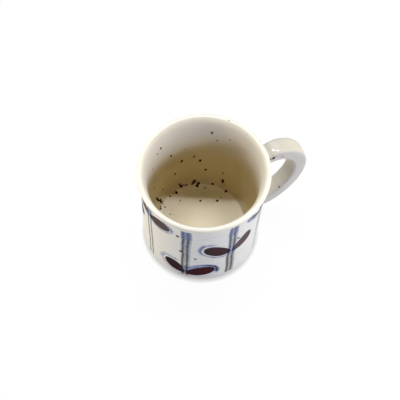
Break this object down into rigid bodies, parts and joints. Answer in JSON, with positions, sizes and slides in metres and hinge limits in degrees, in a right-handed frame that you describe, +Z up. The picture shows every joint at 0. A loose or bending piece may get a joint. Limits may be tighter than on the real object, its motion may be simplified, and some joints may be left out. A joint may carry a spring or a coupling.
{
  "type": "pottery mug",
  "caption": "Straight-sided stoneware mug with a flared rounded lip, a low foot ring and a strap handle; holds a hot drink.",
  "frame": {"origin": "middle of the foot ring's flat, where the mug stands", "axes": "+Z up along the cup's axis, +X out of the cup through the middle of the handle, millimetre model in metres"},
  "size_m": [0.114, 0.084, 0.084],
  "materials": {
    "stoneware_glaze": "speckled cream gloss glaze with brushed leaf and stem sprays outside"
  },
  "bodies": {
    "root": {"mug": "stoneware_glaze"}
  },
  "joints": []
}
